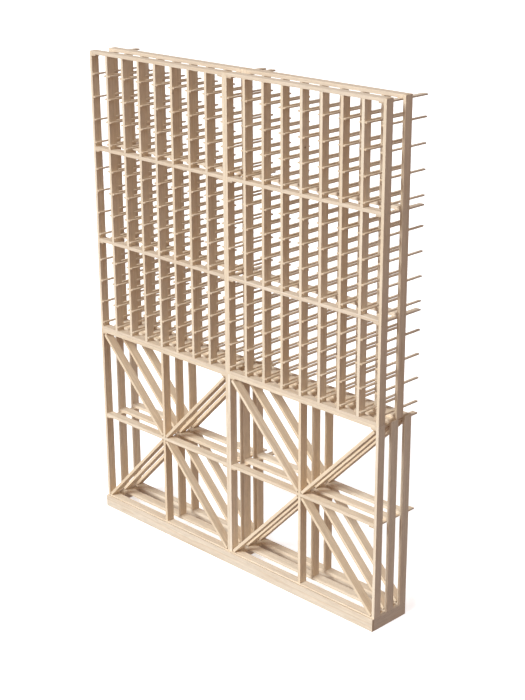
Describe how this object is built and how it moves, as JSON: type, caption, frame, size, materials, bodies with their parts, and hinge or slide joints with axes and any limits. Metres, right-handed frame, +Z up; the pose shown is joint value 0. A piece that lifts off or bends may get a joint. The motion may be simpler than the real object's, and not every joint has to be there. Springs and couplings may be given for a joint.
{
  "type": "wine rack",
  "caption": "Free-standing pine wine rack: tiers of narrow single-bottle cells on side sticks above square bins split by diagonal slats, on a low plinth.",
  "frame": {"origin": "the middle of the rack's footprint, on the floor", "axes": "+X along the rack to the right as seen from the front, -Y out of the front towards the user, +Z up"},
  "size_m": [1.6076, 0.252, 2.0706],
  "materials": {
    "ladder_pine": "unfinished planed pine, matte",
    "rail_pine": "unfinished planed pine, matte",
    "bin_pine": "unfinished planed pine, matte",
    "diagonal_pine": "unfinished planed pine, matte",
    "plinth_pine": "unfinished planed pine, matte"
  },
  "bodies": {
    "root": {"left_ladder_1": "ladder_pine", "left_ladder_2": "ladder_pine", "left_ladder_3": "ladder_pine", "left_ladder_4": "ladder_pine", "left_ladder_5": "ladder_pine", "left_ladder_6": "ladder_pine", "left_ladder_7": "ladder_pine", "left_ladder_8": "ladder_pine", "left_ladder_9": "ladder_pine", "left_lower_tier_frame": "rail_pine", "left_upper_tier_frame": "rail_pine", "left_top_frame": "rail_pine", "left_bottom_rail_front": "rail_pine", "left_bottom_rail_rear": "rail_pine", "left_bin_top_frame": "bin_pine", "left_bin_middle_frame": "bin_pine", "left_bin_floor_frame": "bin_pine", "left_bin_left_post_front": "bin_pine", "left_bin_left_post_middle": "bin_pine", "left_bin_left_post_rear": "bin_pine", "left_bin_right_post_front": "bin_pine", "left_bin_right_post_middle": "bin_pine", "left_bin_right_post_rear": "bin_pine", "left_upper_lattice_front": "diagonal_pine", "left_upper_lattice_middle": "diagonal_pine", "left_upper_lattice_rear": "diagonal_pine", "left_lower_lattice_front": "diagonal_pine", "left_lower_lattice_middle": "diagonal_pine", "left_lower_lattice_rear": "diagonal_pine", "right_ladder_1": "ladder_pine", "right_ladder_2": "ladder_pine", "right_ladder_3": "ladder_pine", "right_ladder_4": "ladder_pine", "right_ladder_5": "ladder_pine", "right_ladder_6": "ladder_pine", "right_ladder_7": "ladder_pine", "right_ladder_8": "ladder_pine", "right_ladder_9": "ladder_pine", "right_lower_tier_frame": "rail_pine", "right_upper_tier_frame": "rail_pine", "right_top_frame": "rail_pine", "right_bottom_rail_front": "rail_pine", "right_bottom_rail_rear": "rail_pine", "right_bin_top_frame": "bin_pine", "right_bin_middle_frame": "bin_pine", "right_bin_floor_frame": "bin_pine", "right_bin_left_post_front": "bin_pine", "right_bin_left_post_middle": "bin_pine", "right_bin_left_post_rear": "bin_pine", "right_bin_right_post_front": "bin_pine", "right_bin_right_post_middle": "bin_pine", "right_bin_right_post_rear": "bin_pine", "right_upper_lattice_front": "diagonal_pine", "right_upper_lattice_middle": "diagonal_pine", "right_upper_lattice_rear": "diagonal_pine", "right_lower_lattice_front": "diagonal_pine", "right_lower_lattice_middle": "diagonal_pine", "right_lower_lattice_rear": "diagonal_pine", "plinth_frame": "plinth_pine", "plinth_fascia": "plinth_pine"}
  },
  "joints": []
}
